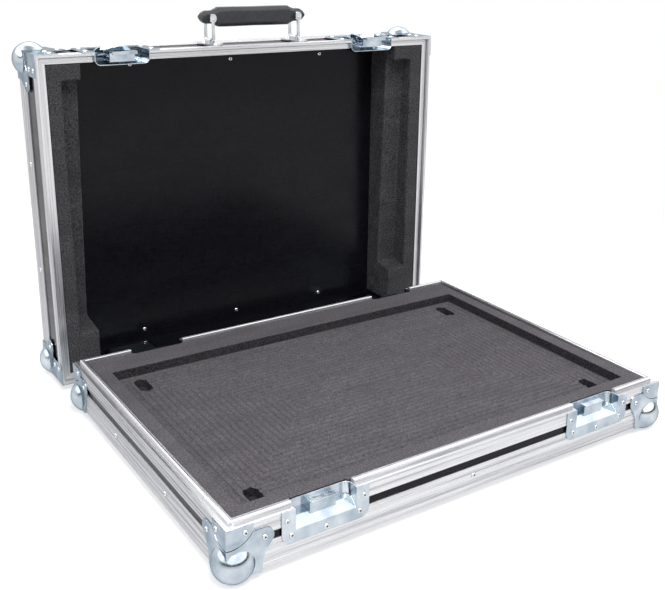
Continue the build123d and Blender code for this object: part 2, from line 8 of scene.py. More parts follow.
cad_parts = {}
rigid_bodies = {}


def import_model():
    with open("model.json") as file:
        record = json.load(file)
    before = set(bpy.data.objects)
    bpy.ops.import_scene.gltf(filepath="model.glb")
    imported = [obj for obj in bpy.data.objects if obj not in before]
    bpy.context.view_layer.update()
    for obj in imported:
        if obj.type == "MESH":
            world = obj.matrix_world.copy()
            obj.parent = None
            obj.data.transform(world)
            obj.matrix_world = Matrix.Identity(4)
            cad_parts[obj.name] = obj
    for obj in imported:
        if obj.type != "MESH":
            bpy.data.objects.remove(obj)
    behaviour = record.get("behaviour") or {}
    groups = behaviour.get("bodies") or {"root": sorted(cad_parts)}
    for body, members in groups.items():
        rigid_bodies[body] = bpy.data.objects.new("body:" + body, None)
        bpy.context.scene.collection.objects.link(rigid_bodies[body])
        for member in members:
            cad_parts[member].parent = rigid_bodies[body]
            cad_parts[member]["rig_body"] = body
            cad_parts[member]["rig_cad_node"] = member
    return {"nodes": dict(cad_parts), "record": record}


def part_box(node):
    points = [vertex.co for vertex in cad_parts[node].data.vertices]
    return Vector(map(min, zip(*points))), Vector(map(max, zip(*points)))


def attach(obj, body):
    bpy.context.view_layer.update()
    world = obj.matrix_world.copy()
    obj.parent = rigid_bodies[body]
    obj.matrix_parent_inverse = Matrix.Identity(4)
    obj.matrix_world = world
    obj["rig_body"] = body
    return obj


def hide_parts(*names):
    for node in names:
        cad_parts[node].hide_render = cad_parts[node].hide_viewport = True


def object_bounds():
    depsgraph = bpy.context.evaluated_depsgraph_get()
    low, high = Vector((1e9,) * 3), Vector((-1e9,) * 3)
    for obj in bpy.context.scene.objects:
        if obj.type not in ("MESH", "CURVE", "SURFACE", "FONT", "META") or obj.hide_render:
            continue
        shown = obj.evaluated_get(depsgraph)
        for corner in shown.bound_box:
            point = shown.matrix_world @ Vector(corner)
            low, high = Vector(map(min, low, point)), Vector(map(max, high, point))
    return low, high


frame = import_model()
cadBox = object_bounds()
nodes = frame["nodes"]
openings = {o["name"]: [Vector(p) for p in o["box_m"]] for o in frame["record"]["physics"]["openings"]}
scene = bpy.context.scene
mm = 0.001
joinReach = 0.002 * mm  # corners nearer than this are one; a CAD mesh comes as loose triangles

# Camera at the photograph's angle. The photograph is taken to be 665 by 590 pixels.
cameraSet = {
    "place": (-646.8, -1006.67, 604.35),  # mm
    "turnRight": 34.238,  # degrees
    "lookDown": 18.132,
    "roll": 1.11,
    "photo": (665, 590),
    "focal": 954.0,  # pixels
    "centre": (360.06, 252.45),  # the optical axis, in pixels
    "sensor": 36.0,  # mm
}


def makeCamera():
    width, height = cameraSet["photo"]
    data = bpy.data.cameras.new("photoCamera")
    data.sensor_width = cameraSet["sensor"]
    data.sensor_fit = "HORIZONTAL"
    data.lens = cameraSet["focal"] * cameraSet["sensor"] / width
    data.shift_x = (width / 2 - cameraSet["centre"][0]) / width
    data.shift_y = (cameraSet["centre"][1] - height / 2) / width
    camera = bpy.data.objects.new("photoCamera", data)
    camera.location = Vector(cameraSet["place"]) * mm
    turn = Matrix.Rotation(math.radians(-cameraSet["turnRight"]), 3, "Z")
    tilt = Matrix.Rotation(math.radians(90 - cameraSet["lookDown"]), 3, "X")
    roll = Matrix.Rotation(math.radians(cameraSet["roll"]), 3, "Z")
    camera.rotation_euler = (turn @ tilt @ roll).to_euler()
    scene.collection.objects.link(camera)
    scene.camera = camera


makeCamera()
print("camera set")


# Shared helpers
def linear(hexColour):  # an sRGB hex colour as linear values
    parts = [int(hexColour[i:i + 2], 16) / 255 for i in (1, 3, 5)]
    return (*[c / 12.92 if c <= 0.04045 else ((c + 0.055) / 1.055) ** 2.4 for c in parts], 1.0)


def addNode(tree, kind, inputs=None, **settings):
    # A node with its settings. An input is linked to a socket or to a node's first output, or set to a value.
    node = tree.nodes.new(kind)
    for name, value in settings.items():
        setattr(node, name, value)
    for name, value in (inputs or {}).items():
        if isinstance(value, bpy.types.Node):
            value = value.outputs[0]
        if isinstance(value, bpy.types.NodeSocket):
            tree.links.new(value, node.inputs[name])
        else:
            node.inputs[name].default_value = value
    return node


def startMaterial(name, uniform):  # a principled material, with the values that are the same all over
    material = bpy.data.materials.new(name)
    material.use_nodes = True
    tree = material.node_tree
    shader = tree.nodes["Principled BSDF"]
    for label, value in uniform.items():
        shader.inputs[label].default_value = value
    return material, tree, shader


def twoTone(tree, pattern, edges, first, second, share=1.0):
    # The second colour over the first where the pattern rises from one edge to the other, up to that share
    rise = {"Value": pattern, "From Min": edges[0], "From Max": edges[1], "To Max": share}
    factor = addNode(tree, "ShaderNodeMapRange", rise)
    first, second = [linear(colour) if isinstance(colour, str) else colour for colour in (first, second)]
    return addNode(tree, "ShaderNodeMix", {0: factor, 6: first, 7: second}, data_type="RGBA").outputs[2]


def overlap(tree, *ramps):
    # The product of two ramps, each given as a pattern, its start and end, and the values that these become
    parts = []
    for pattern, start, end, low, high in ramps:
        ramp = {"Value": pattern, "From Min": start, "From Max": end, "To Min": low, "To Max": high}
        parts.append(addNode(tree, "ShaderNodeMapRange", ramp))
    return addNode(tree, "ShaderNodeMath", {0: parts[0], 1: parts[1]}, operation="MULTIPLY")


def setSurface(tree, shader, colour, rough=None, relief=None):
    # Colour, a roughness that follows a pattern between two values, and a relief with its depth and strength
    tree.links.new(colour, shader.inputs["Base Color"])
    if rough:
        pattern, low, high = rough
        ramp = {"Value": pattern, "From Min": spread[0], "From Max": spread[1], "To Min": low, "To Max": high}
        tree.links.new(addNode(tree, "ShaderNodeMapRange", ramp).outputs[0], shader.inputs["Roughness"])
    if relief:
        pattern, depth, strength = relief
        form = {"Height": pattern, "Distance": depth * mm, "Strength": strength}
        tree.links.new(addNode(tree, "ShaderNodeBump", form).outputs[0], shader.inputs["Normal"])


# The milled pocket in the tray foam
pocket = openings["device_pocket"]
pocketPlay = 0.5 * mm  # the opening's box to the pocket's faces
pocketFloor = pocket[0].z - pocketPlay
milledRidge = 1.6 * mm  # height of the ridges between two passes of the cutter on that floor

# Finishes. A pattern's scale comes from the width of its patches, and its edges are the values between which
# one colour gives way to the next. "rough" holds two values of roughness, "relief" a depth in mm and its
# strength, and "turned" the colour that is left of a metal's shine where it turns away.
spread = (0.3, 0.7)  # nearly all of a noise pattern's values lie between these

aluminiumSet = {
    "lines": {"Scale": 1 / (1.1 * mm), "Detail": 4.0, "Roughness": 0.65},
    "streaks": {"Scale": 1 / (4.5 * mm), "Detail": 2.0, "Roughness": 0.6},
    "drawn": 0.008,  # scale of both along the bar
    "dull": "#a9a9ae",
    "bright": "#dededf",
    "streakEdges": (0.36, 0.62),
    "line": "#f2f2f3",
    "lineEdges": (0.38, 0.62),
    "lineShare": 0.8,
    "turned": "#a8a8ad",
    "rough": (0.22, 0.42),
    "relief": (0.08, 0.6),
}


def extrudedAluminium(name, along):
    # Extruded aluminium, clear anodised: cool light grey, with die lines along the bar that spread its shine
    # across the bar. The finest real lines are about 0.2 mm wide; they are drawn at 1.1 mm so that they show.
    look = aluminiumSet
    material, tree, shader = startMaterial(name, {
        "Metallic": 1.0,
        "Anisotropic": 0.75,
        "Anisotropic Rotation": 0.25,
        "Specular Tint": linear(look["turned"]),
    })
    place = addNode(tree, "ShaderNodeTexCoord").outputs["Object"]
    stretch = [look["drawn"] if axis == along else 1.0 for axis in "XYZ"]
    bar = addNode(tree, "ShaderNodeMapping", {"Vector": place, "Scale": stretch})
    lines = addNode(tree, "ShaderNodeTexNoise", {"Vector": bar, **look["lines"]})
    streaks = addNode(tree, "ShaderNodeTexNoise", {"Vector": bar, **look["streaks"]})
    tint = twoTone(tree, streaks, look["streakEdges"], look["dull"], look["bright"])
    colour = twoTone(tree, lines, look["lineEdges"], tint, look["line"], look["lineShare"])
    direction = {axis: 1.0 if axis == along else 0.0 for axis in "XYZ"}
    tree.links.new(addNode(tree, "ShaderNodeCombineXYZ", direction).outputs[0], shader.inputs["Tangent"])
    setSurface(tree, shader, colour, (lines, *look["rough"]), (lines, *look["relief"]))
    return material


zincSet = {
    "clouds": {"Scale": 1 / (22 * mm), "Detail": 2.0, "Roughness": 0.45},
    "spots": {"Scale": 1 / (4.5 * mm), "Detail": 3.0, "Roughness": 0.6},
    "clouded": "#9eabb8",
    "bright": "#d2dae0",
    "spot": "#c3cbc6",
    "spotEdges": (0.52, 0.7),
    "spotShare": 0.45,
    "turned": "#b2b8be",
    "rough": (0.08, 0.2),
    "relief": (0.06, 0.35),
}


def zincPlatedSteel():
    # Pressed steel, zinc plated and blue passivated: a bright blue-grey shine, faint clouds, a few dull spots
    look = zincSet
    uniform = {"Metallic": 1.0, "Specular Tint": linear(look["turned"])}
    material, tree, shader = startMaterial("zincPlatedSteel", uniform)
    place = addNode(tree, "ShaderNodeTexCoord").outputs["Object"]
    clouds = addNode(tree, "ShaderNodeTexNoise", {"Vector": place, **look["clouds"]})
    spots = addNode(tree, "ShaderNodeTexNoise", {"Vector": place, **look["spots"]})
    tint = twoTone(tree, clouds, spread, look["clouded"], look["bright"])
    colour = twoTone(tree, spots, look["spotEdges"], tint, look["spot"], look["spotShare"])
    setSurface(tree, shader, colour, (spots, *look["rough"]), (spots, *look["relief"]))
    return material


plainMetals = {
    # Drawn aluminium blind rivets: bright, a little rough from the tool
    "drawnRivetAluminium": {
        "marks": {"Scale": 1 / (1.2 * mm), "Detail": 3.0},
        "colours": ("#cfd0d2", "#f0f0f0"),
        "rough": (0.16, 0.3),
        "relief": (0.05, 0.4),
    },
    # Broken steel mandrels deep in the rivets: dull steel drawn near black, so that it also paints the shade
    # that falls in their pits
    "dullSteelMandrel": {
        "marks": {"Scale": 1 / (0.8 * mm), "Detail": 2.0},
        "colours": ("#2e2f33", "#56575c"),
        "rough": (0.4, 0.6),
    },
    # Chromed steel rod: a near mirror with the faintest haze
    "chromePlate": {
        "marks": {"Scale": 1 / (9 * mm), "Detail": 3.0},
        "colours": ("#b9bcc0", "#dcdee0"),
        "rough": (0.04, 0.12),
    },
}


def plainMetal(name):
    look = plainMetals[name]
    material, tree, shader = startMaterial(name, {"Metallic": 1.0})
    place = addNode(tree, "ShaderNodeTexCoord").outputs["Object"]
    marks = addNode(tree, "ShaderNodeTexNoise", {"Vector": place, **look["marks"]})
    relief = (marks, *look["relief"]) if "relief" in look else None
    setSurface(tree, shader, twoTone(tree, marks, spread, *look["colours"]), (marks, *look["rough"]), relief)
    return material


laminateSet = {
    "threads": {"Scale": 1 / (1.8 * mm), "Detail": 2.0},
    "threadStretches": ((0.15, 1, 1), (1, 0.15, 0.15)),  # scales of the two sets of threads
    "smears": {"Scale": 1 / (120 * mm), "Detail": 4.0, "Roughness": 0.6},
    "smearStretch": (1, 1, 2.5),
    "colours": ("#0d0d11", "#1a1a20"),
    "weaveEdges": (0.7, 1.3),
    "rough": (0.17, 0.34),
    "relief": (0.04, 0.4),
}


def blackLaminate():
    # Plywood faced with black phenolic film: near black, smooth, with a blurred reflection and a faint weave
    look = laminateSet
    material, tree, shader = startMaterial("blackPhenolicFilm", {"Specular IOR Level": 0.16})
    place = addNode(tree, "ShaderNodeTexCoord").outputs["Object"]
    threads = []
    for stretch in look["threadStretches"]:
        lengthwise = addNode(tree, "ShaderNodeMapping", {"Vector": place, "Scale": stretch})
        threads.append(addNode(tree, "ShaderNodeTexNoise", {"Vector": lengthwise, **look["threads"]}))
    weave = addNode(tree, "ShaderNodeMath", {0: threads[0], 1: threads[1]}, operation="ADD")
    wiped = addNode(tree, "ShaderNodeMapping", {"Vector": place, "Scale": look["smearStretch"]})
    smears = addNode(tree, "ShaderNodeTexNoise", {"Vector": wiped, **look["smears"]})
    colour = twoTone(tree, weave, look["weaveEdges"], *look["colours"])
    setSurface(tree, shader, colour, (smears, *look["rough"]), (weave, *look["relief"]))
    return material


foamSet = {
    "cells": {"Scale": 1 / (2.2 * mm)},
    "speckle": {"Scale": 1 / (2.2 * mm), "Detail": 3.0, "Roughness": 0.75},
    "speckleEdges": (0.34, 0.66),
    "brush": {"Scale": 1 / (24 * mm), "Detail": 3.0},  # faint broad strokes
    "brushStretch": (0.3, 1, 1),
    "brushShare": 0.35,
    "relief": (0.5, 0.8),
    "tray": ("#514e53", "#868387"),  # milled faces
    "trayCutShade": ("#1b1a1c", "#504e51"),  # cut walls and slots, painted darker as shade
    "cutEdges": (0.38, 0.62),
    "lid": ("#232325", "#6b6a6d"),
    "facing": (0.35, 0.8),  # upward part of the normal, from a cut wall in painted shade to a milled face
    "slot": (-2.5, -1.0),  # mm from the pocket's floor, over which a slot's painted shade ends
    "crest": (0.4, 1.0),  # heights over which painted shade darkens a ridge, as shares of its own
    "crestShadeShare": 0.25,
    "overCrest": (1.15, 1.4),  # heights over which that ends again, above the ridges
}


def paintMilledShade(tree, place, speckle, colour):
    # Milled faces are paler than cut walls, and the ridges that the cutter leaves on the floor are darker:
    # painted shade, laid by how far a face turns from upward, by depth below the pocket's floor in the slots,
    # and on the ridges' crests
    look = foamSet
    walls = twoTone(tree, speckle, look["cutEdges"], *look["trayCutShade"])
    normal = addNode(tree, "ShaderNodeNewGeometry").outputs["True Normal"]
    up = addNode(tree, "ShaderNodeSeparateXYZ", {"Vector": normal}).outputs["Z"]
    height = addNode(tree, "ShaderNodeSeparateXYZ", {"Vector": place}).outputs["Z"]
    crest = [pocketFloor + share * milledRidge for share in look["crest"]]
    over = [pocketFloor + share * milledRidge for share in look["overCrest"]]
    slot = [pocketFloor + level * mm for level in look["slot"]]
    line = overlap(tree, (height, *crest, 0, look["crestShadeShare"]), (height, *over, 1, 0))
    milled = overlap(tree, (up, *look["facing"], 0, 1), (height, *slot, 0, 1))
    crestShaded = twoTone(tree, line, (0, 1), colour, look["trayCutShade"][0])
    return twoTone(tree, milled, (0, 1), walls, crestShaded)


def foamSkin(name, half):
    # Closed-cell polyethylene foam, cut: matt, speckled by its cells.
    # The real cells are about 0.8 mm wide; they are drawn at 2.2 mm so that they show.
    look = foamSet
    material, tree, shader = startMaterial(name, {"Roughness": 0.95, "Specular IOR Level": 0.15})
    place = addNode(tree, "ShaderNodeTexCoord").outputs["Object"]
    cells = addNode(tree, "ShaderNodeTexVoronoi", {"Vector": place, **look["cells"]})
    speckle = addNode(tree, "ShaderNodeTexNoise", {"Vector": place, **look["speckle"]})
    stroked = addNode(tree, "ShaderNodeMapping", {"Vector": place, "Scale": look["brushStretch"]})
    strokes = addNode(tree, "ShaderNodeTexNoise", {"Vector": stroked, **look["brush"]})
    colour = twoTone(tree, speckle, look["speckleEdges"], *look[half])
    # On the tray foam the cut walls, the slots and the ridge crests get painted shade
    if half == "tray":
        colour = paintMilledShade(tree, place, speckle, colour)
    shade = twoTone(tree, strokes, spread, colour, look[half][0], look["brushShare"])
    pits = addNode(tree, "ShaderNodeMath", {0: cells, 1: speckle}, operation="ADD")
    setSurface(tree, shader, shade, relief=(pits, *look["relief"]))
    return material


vinylSet = {
    "grain": {"Scale": 1 / (1.7 * mm)},
    "rubbed": {"Scale": 1 / (3.5 * mm), "Detail": 4.0, "Roughness": 0.7},
    "colours": ("#1c1d20", "#38393d"),
    "rough": (0.4, 0.6),
    "relief": (0.4, 0.8),
}


def mouldedGrip():
    # Moulded soft vinyl grip: dark grey with a leather-like grain, dull with a soft shine on its edges
    look = vinylSet
    material, tree, shader = startMaterial("mouldedVinylGrip", {"Specular IOR Level": 0.5})
    place = addNode(tree, "ShaderNodeTexCoord").outputs["Object"]
    grain = addNode(tree, "ShaderNodeTexVoronoi", {"Vector": place, **look["grain"]})
    rubbed = addNode(tree, "ShaderNodeTexNoise", {"Vector": place, **look["rubbed"]})
    colour = twoTone(tree, rubbed, spread, *look["colours"])
    setSurface(tree, shader, colour, (rubbed, *look["rough"]), (grain, *look["relief"]))
    return material


finish = {
    "X": extrudedAluminium("anodisedAluminiumX", "X"),
    "Y": extrudedAluminium("anodisedAluminiumY", "Y"),
    "Z": extrudedAluminium("anodisedAluminiumZ", "Z"),
    "zinc": zincPlatedSteel(),
    "rivet": plainMetal("drawnRivetAluminium"),
    "mandrel": plainMetal("dullSteelMandrel"),
    "laminate": blackLaminate(),
    "trayFoam": foamSkin("milledTrayFoam", "tray"),
    "lidFoam": foamSkin("cutLidFoam", "lid"),
    "chrome": plainMetal("chromePlate"),
    "grip": mouldedGrip(),
}
print("finishes made")


# Finishes of the CAD nodes, and small rounded edges on all but the handle
edgeSet = {
    "sheet": 0.35,  # radii in mm
    "section": 0.25,
    "board": 0.3,
    "latch": 0.3,
    "segments": 2,
    "flat": 0.5,  # degrees; faces that turn less than this are one
    "sharp": 35,  # degrees; edges that turn more than this are rounded
}


def nodeFinish(name):  # a node's finish and the kind of its edges
    if name.endswith(("_rim", "_edge")):
        half, side = name.split("_")[:2]
        return finish["X" if side in ("front", "back") else "Y" if half == "tray" else "Z"], "section"
    if name.endswith("_board"):
        return finish["laminate"], "board"
    if name.endswith("_loop") or name == "handle_bases":
        return finish["chrome"], None
    if name == "handle_grip":
        return finish["grip"], None
    return finish["zinc"], "latch" if "_latch_" in name else "sheet"


def roundEdges(obj, radius):  # joins the loose triangles, makes flat faces one and rounds the sharp edges
    obj.modifiers.new("join", "WELD").merge_threshold = joinReach
    flat = obj.modifiers.new("flat", "DECIMATE")
    flat.decimate_type = "DISSOLVE"
    flat.angle_limit = math.radians(edgeSet["flat"])
    bevel = obj.modifiers.new("edges", "BEVEL")
    bevel.width = radius * mm
    bevel.segments = edgeSet["segments"]
    bevel.limit_method = "ANGLE"
    bevel.angle_limit = math.radians(edgeSet["sharp"])
    bevel.harden_normals = True


for name, obj in nodes.items():
    material, edge = nodeFinish(name)
    obj.data.materials.clear()
    obj.data.materials.append(material)
    if edge:
        roundEdges(obj, edgeSet[edge])
print("CAD nodes finished")


# Making plain meshes
def meshObject(name, bm):
    mesh = bpy.data.meshes.new(name)
    bm.to_mesh(mesh)
    bm.free()
    obj = bpy.data.objects.new(name, mesh)
    scene.collection.objects.link(obj)
    return obj


def applyModifiers(obj):  # turns what the modifiers make into the object's own plain mesh
    depsgraph = bpy.context.evaluated_depsgraph_get()
    mesh = bpy.data.meshes.new_from_object(obj.evaluated_get(depsgraph))
    obj.modifiers.clear()
    old = obj.data
    obj.data = mesh
    bpy.data.meshes.remove(old)
    mesh.name = obj.name


def dropObject(obj):
    data = obj.data
    bpy.data.objects.remove(obj)
    bpy.data.meshes.remove(data)


def newTree(name, inputs):  # a geometry node tree with named inputs
    tree = bpy.data.node_groups.new(name, "GeometryNodeTree")
    tree.interface.new_socket("Geometry", in_out="INPUT", socket_type="NodeSocketGeometry")
    for label, (kind, value) in inputs.items():
        socket = tree.interface.new_socket(label, in_out="INPUT", socket_type=kind)
        if value is not None:
            socket.default_value = value
    tree.interface.new_socket("Geometry", in_out="OUTPUT", socket_type="NodeSocketGeometry")
    return tree, addNode(tree, "NodeGroupInput").outputs


def endTree(tree, geometry, material, faces=True):  # real geometry with its material, on the faces chosen
    real = addNode(tree, "GeometryNodeRealizeInstances", {"Geometry": geometry})
    chosen = {"Geometry": real, "Material": material, "Selection": faces}
    addNode(tree, "NodeGroupOutput", {0: addNode(tree, "GeometryNodeSetMaterial", chosen)})


def useTree(obj, tree, values):  # adds the tree to an object and sets its inputs by their identifiers
    modifier = obj.modifiers.new(tree.name, "NODES")
    modifier.node_group = tree
    for item in tree.interface.items_tree:
        if item.in_out == "INPUT" and item.name in values:
            modifier[item.identifier] = values[item.name]


# Rivets: one spun head set on every seat that the CAD heads give
rivetHead = {
    "radius": 3.3,  # mm
    "height": 1.5,
    "hole": 1.2,  # radius of the pit that the broken mandrel leaves
    "holeDepth": 0.9,
    "lip": (0.2, 0.15),  # width and depth of the slope round the pit
    "dome": ((0.62, 0.92), (0.86, 0.62)),  # points of its curve, as shares of the radius and the height
    "rim": 0.25,  # height of its edge
    "steps": 20,
    "spread": 0.03,  # share by which one head's size differs from the next
    "seed": 11,
    "seatShare": 0.7,  # least share of a head's disc that the face of a seat covers
    "seatFlat": 1.0,  # degrees; faces of a seat that turn less than this are one
}


def spunHead():
    radius, height, hole = rivetHead["radius"], rivetHead["height"], rivetHead["hole"]
    bottom, (lipWidth, lipDepth) = height - rivetHead["holeDepth"], rivetHead["lip"]
    profile = [(0, bottom), (hole, bottom), (hole, height - lipDepth), (hole + lipWidth, height)]
    profile += [(radius * out, height * up) for out, up in rivetHead["dome"]]
    profile += [(radius, rivetHead["rim"]), (radius, 0), (0, 0)]
    bm = bmesh.new()
    points = [bm.verts.new((x * mm, 0, z * mm)) for x, z in profile]
    edges = [bm.edges.new(pair) for pair in zip(points, points[1:])]
    turn = {"cent": (0, 0, 0), "axis": (0, 0, 1), "angle": 2 * math.pi, "steps": rivetHead["steps"]}
    bmesh.ops.spin(bm, geom=points + edges, **turn)
    bmesh.ops.remove_doubles(bm, verts=bm.verts, dist=joinReach)
    bmesh.ops.recalc_face_normals(bm, faces=bm.faces)
    shell = bm.faces.layers.bool.new("shell")  # all but the mandrel's pit
    pitEdge = (hole + lipWidth / 2) * mm
    for face in bm.faces:
        face.smooth = True
        isUnderside = face.normal.z < -0.5
        face[shell] = isUnderside or max(vert.co.xy.length for vert in face.verts) > pitEdge
    head = meshObject("rivetHead", bm)
    # The pit takes the near-black mandrel finish: partly the steel's own dark, partly painted shade in the
    # pit
    head.data.materials.append(finish["mandrel"])
    return head


def rivetSeats(nodeName):  # a point under each CAD head, with the direction its head points
    bm = bmesh.new()
    bm.from_mesh(nodes[nodeName].data)
    bmesh.ops.remove_doubles(bm, verts=bm.verts, dist=joinReach)
    flat = math.radians(rivetHead["seatFlat"])
    bmesh.ops.dissolve_limit(bm, angle_limit=flat, verts=bm.verts, edges=bm.edges)
    least = rivetHead["seatShare"] * math.pi * (rivetHead["radius"] * mm) ** 2
    seats = [(face.calc_center_bounds(), -face.normal) for face in bm.faces if face.calc_area() > least]
    bm.free()
    mesh = bpy.data.meshes.new("seats")
    mesh.from_pydata([centre for centre, _ in seats], [], [])
    axes = mesh.attributes.new("axis", "FLOAT_VECTOR", "POINT")
    axes.data.foreach_set("vector", [part for _, axis in seats for part in axis])
    return mesh, len(seats)


def rivetTree():  # a head on every point, turned to the point's axis and spun by chance
    tree, given = newTree("rivetHeads", {
        "Head": ("NodeSocketObject", None),
        "Size Spread": ("NodeSocketFloat", 0.03),
        "Seed": ("NodeSocketInt", 1),
    })
    head = addNode(tree, "GeometryNodeObjectInfo", {"Object": given["Head"]}).outputs["Geometry"]
    axis = addNode(tree, "GeometryNodeInputNamedAttribute", {"Name": "axis"}, data_type="FLOAT_VECTOR")
    facing = addNode(tree, "FunctionNodeAlignRotationToVector", {"Vector": axis}, axis="Z")
    anyTurn = {0: (0, 0, 0), 1: (0, 0, 2 * math.pi), "Seed": given["Seed"]}
    spin = addNode(tree, "FunctionNodeRandomValue", anyTurn, data_type="FLOAT_VECTOR")
    both = {"Rotation": facing, "Rotate By": spin}
    turned = addNode(tree, "FunctionNodeRotateRotation", both, rotation_space="LOCAL")
    least = addNode(tree, "ShaderNodeMath", {0: 1.0, 1: given["Size Spread"]}, operation="SUBTRACT")
    anySize = {2: least, 3: 1.0, "Seed": given["Seed"]}
    size = addNode(tree, "FunctionNodeRandomValue", anySize, data_type="FLOAT").outputs[1]
    heads = addNode(tree, "GeometryNodeInstanceOnPoints", {
        "Points": given["Geometry"],
        "Instance": head,
        "Rotation": turned,
        "Scale": size,
    })
    shell = addNode(tree, "GeometryNodeInputNamedAttribute", {"Name": "shell"}, data_type="BOOLEAN")
    endTree(tree, heads, finish["rivet"], shell.outputs["Attribute"])
    return tree


def makeRivets():
    head = spunHead()
    tree = rivetTree()
    for body in ("tray", "lid"):
        mesh, count = rivetSeats(f"{body}_rivets")
        rivets = bpy.data.objects.new(f"{body}BlindRivets", mesh)
        scene.collection.objects.link(rivets)
        useTree(rivets, tree, {"Head": head, "Size Spread": rivetHead["spread"], "Seed": rivetHead["seed"]})
        applyModifiers(rivets)
        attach(rivets, body)
        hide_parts(f"{body}_rivets")
        print(body, "rivets:", count)
    dropObject(head)


makeRivets()


# Tray foam: a block whose pocket floor is milled in rings that follow the pocket's outline
trayFoamSet = {
    "pitch": 8.43,  # mm between the milling cutter's passes
    "ringSteps": 6,  # steps across one pass
    "softEdge": 1.2,  # radius of the block's and the pocket's upper edges
    "softSteps": 4,
    "slot": (17.0, 37.0, 10.0),  # width, length and depth of a foot slot
    "notch": (75.6, 4.2),  # width of the room for a keeper dish, and its chamfer
    "notchReach": 17.3,  # from the case's outer face
    "notchDepth": 27.7,  # from the foam's top
}


def ringTree():  # a grid whose columns become rectangles, each further in from the pocket's edge
    tree, given = newTree("milledRings", {
        "Half Width": ("NodeSocketFloat", 0.25),
        "Half Depth": ("NodeSocketFloat", 0.15),
        "Centre": ("NodeSocketVector", None),
        "Pitch": ("NodeSocketFloat", 0.008),
        "Ridge": ("NodeSocketFloat", 0.001),
        "Steps": ("NodeSocketInt", 6),
    })
    value = {socket.name: socket for socket in given}
    value["index"] = addNode(tree, "GeometryNodeInputIndex").outputs[0]
    # Each row is a name, what is done and its terms. A column has five points: four corners, then the first.
    for label, operation, *terms in (
        ("step", "DIVIDE", "Pitch", "Steps"),
        ("ringCount", "DIVIDE", "Half Depth", "step"),
        ("wholeRings", "CEIL", "ringCount"),
        ("columns", "ADD", "wholeRings", 1.0),
        ("corner", "MODULO", "index", 5.0),
        ("fifths", "DIVIDE", "index", 5.0),
        ("column", "FLOOR", "fifths"),
        ("goal", "MULTIPLY", "column", "step"),
        ("inset", "MINIMUM", "goal", "Half Depth"),
        ("fromSecond", "GREATER_THAN", "corner", 0.5),
        ("toThird", "LESS_THAN", "corner", 2.5),
        ("isRight", "MULTIPLY", "fromSecond", "toThird"),
        ("fromThird", "GREATER_THAN", "corner", 1.5),
        ("toFourth", "LESS_THAN", "corner", 3.5),
        ("isFar", "MULTIPLY", "fromThird", "toFourth"),
        ("halfX", "SUBTRACT", "Half Width", "inset"),
        ("halfY", "SUBTRACT", "Half Depth", "inset"),
        ("twiceRight", "MULTIPLY", "isRight", 2.0),
        ("twiceFar", "MULTIPLY", "isFar", 2.0),
        ("signX", "SUBTRACT", "twiceRight", 1.0),
        ("signY", "SUBTRACT", "twiceFar", 1.0),
        ("x", "MULTIPLY", "halfX", "signX"),
        ("y", "MULTIPLY", "halfY", "signY"),
        ("passes", "DIVIDE", "inset", "Pitch"),
        ("inPass", "FRACT", "passes"),
        ("twiceInPass", "MULTIPLY", "inPass", 2.0),
        ("across", "SUBTRACT", "twiceInPass", 1.0),
        ("bowl", "MULTIPLY", "across", "across"),
        ("z", "MULTIPLY", "bowl", "Ridge"),
    ):
        inputs = {i: value.get(term, term) for i, term in enumerate(terms)}
        value[label] = addNode(tree, "ShaderNodeMath", inputs, operation=operation).outputs[0]
    grid = addNode(tree, "GeometryNodeMeshGrid", {"Vertices X": value["columns"], "Vertices Y": 5})
    place = addNode(tree, "ShaderNodeCombineXYZ", {"X": value["x"], "Y": value["y"], "Z": value["z"]})
    moved = addNode(tree, "ShaderNodeVectorMath", {0: place, 1: given["Centre"]}, operation="ADD")
    placed = addNode(tree, "GeometryNodeSetPosition", {"Geometry": grid, "Position": moved})
    joined = addNode(tree, "GeometryNodeMergeByDistance", {"Geometry": placed, "Distance": joinReach})
    endTree(tree, joined, finish["trayFoam"])
    return tree


def prismCutter(bm, outline, low, high):
    bottom = [bm.verts.new((x, y, low)) for x, y in outline]
    face = bm.faces.new(bottom)
    raised = bmesh.ops.extrude_face_region(bm, geom=[face])["geom"]
    corners = [part for part in raised if isinstance(part, bmesh.types.BMVert)]
    bmesh.ops.translate(bm, vec=(0, 0, high - low), verts=corners)


def stadium(centre, width, length, steps=12):
    straight = (length - width) / 2
    turns = [(i * math.pi / steps, straight) for i in range(steps + 1)]
    turns += [(math.pi + i * math.pi / steps, -straight) for i in range(steps + 1)]
    return [(centre.x + width / 2 * math.cos(a), centre.y + width / 2 * math.sin(a) + s) for a, s in turns]


